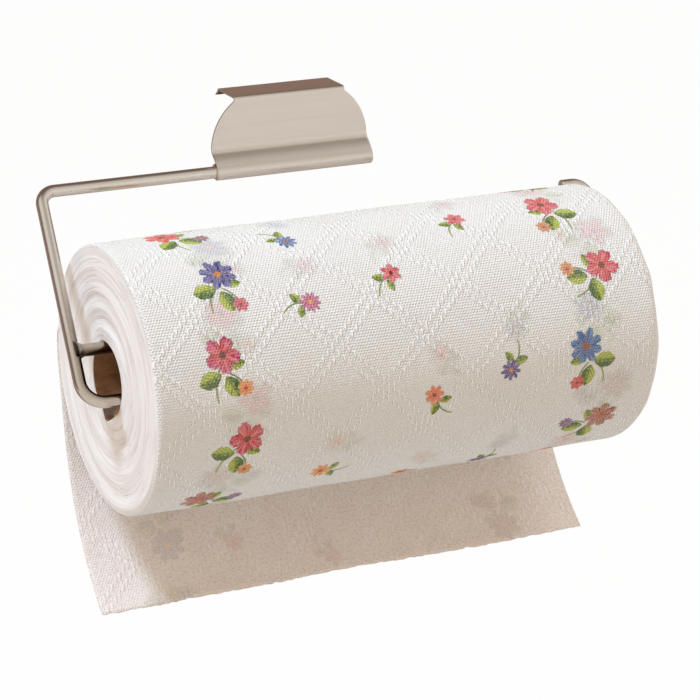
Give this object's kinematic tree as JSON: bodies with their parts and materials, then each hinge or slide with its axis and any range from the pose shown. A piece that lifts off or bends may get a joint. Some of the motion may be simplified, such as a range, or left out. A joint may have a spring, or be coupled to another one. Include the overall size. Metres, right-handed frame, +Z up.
{
  "type": "paper towel holder",
  "caption": "Over-the-door paper towel holder: folded steel hook with a rolled hem, bent rod frame leaning forward, and a turning roll with its end sheet hanging behind.",
  "frame": {"origin": "middle of the hook's top, on the face that rests on the door's upper edge", "axes": "+X along the roll, to the right seen from in front of the door; +Y back through the door; +Z up"},
  "size_m": [0.3203, 0.1614, 0.2484],
  "materials": {
    "brushed_plate": "brushed along X",
    "rod": "satin polished rod",
    "weld": "dull weld bead",
    "foam": "matt foam rubber",
    "cardboard": "spiral wound card",
    "towel": "soft embossed printed paper"
  },
  "bodies": {
    "holder": {"bracket": "brushed_plate", "back_pad": "foam", "frame_rod": "rod", "cross_rod": "rod", "weld_left": "weld", "weld_right": "weld"},
    "roll": {"core": "cardboard", "paper_roll": "towel"},
    "sheet": {"sheet": "towel"}
  },
  "joints": [
    {"name": "roll_spin", "type": "hinge", "parent": "holder", "child": "roll", "pos_m": [0.0082, -0.0816, -0.11785], "axis": [-1, 0, 0], "range_deg": [0, 62]},
    {"name": "sheet_pull", "type": "slide", "parent": "holder", "child": "sheet", "axis": [0, 0, -1], "range_m": [0, 0.075]}
  ],
  "couplings": [
    {"joint": "sheet_pull", "follows": "roll_spin", "m_per_rad": 0.0689}
  ]
}
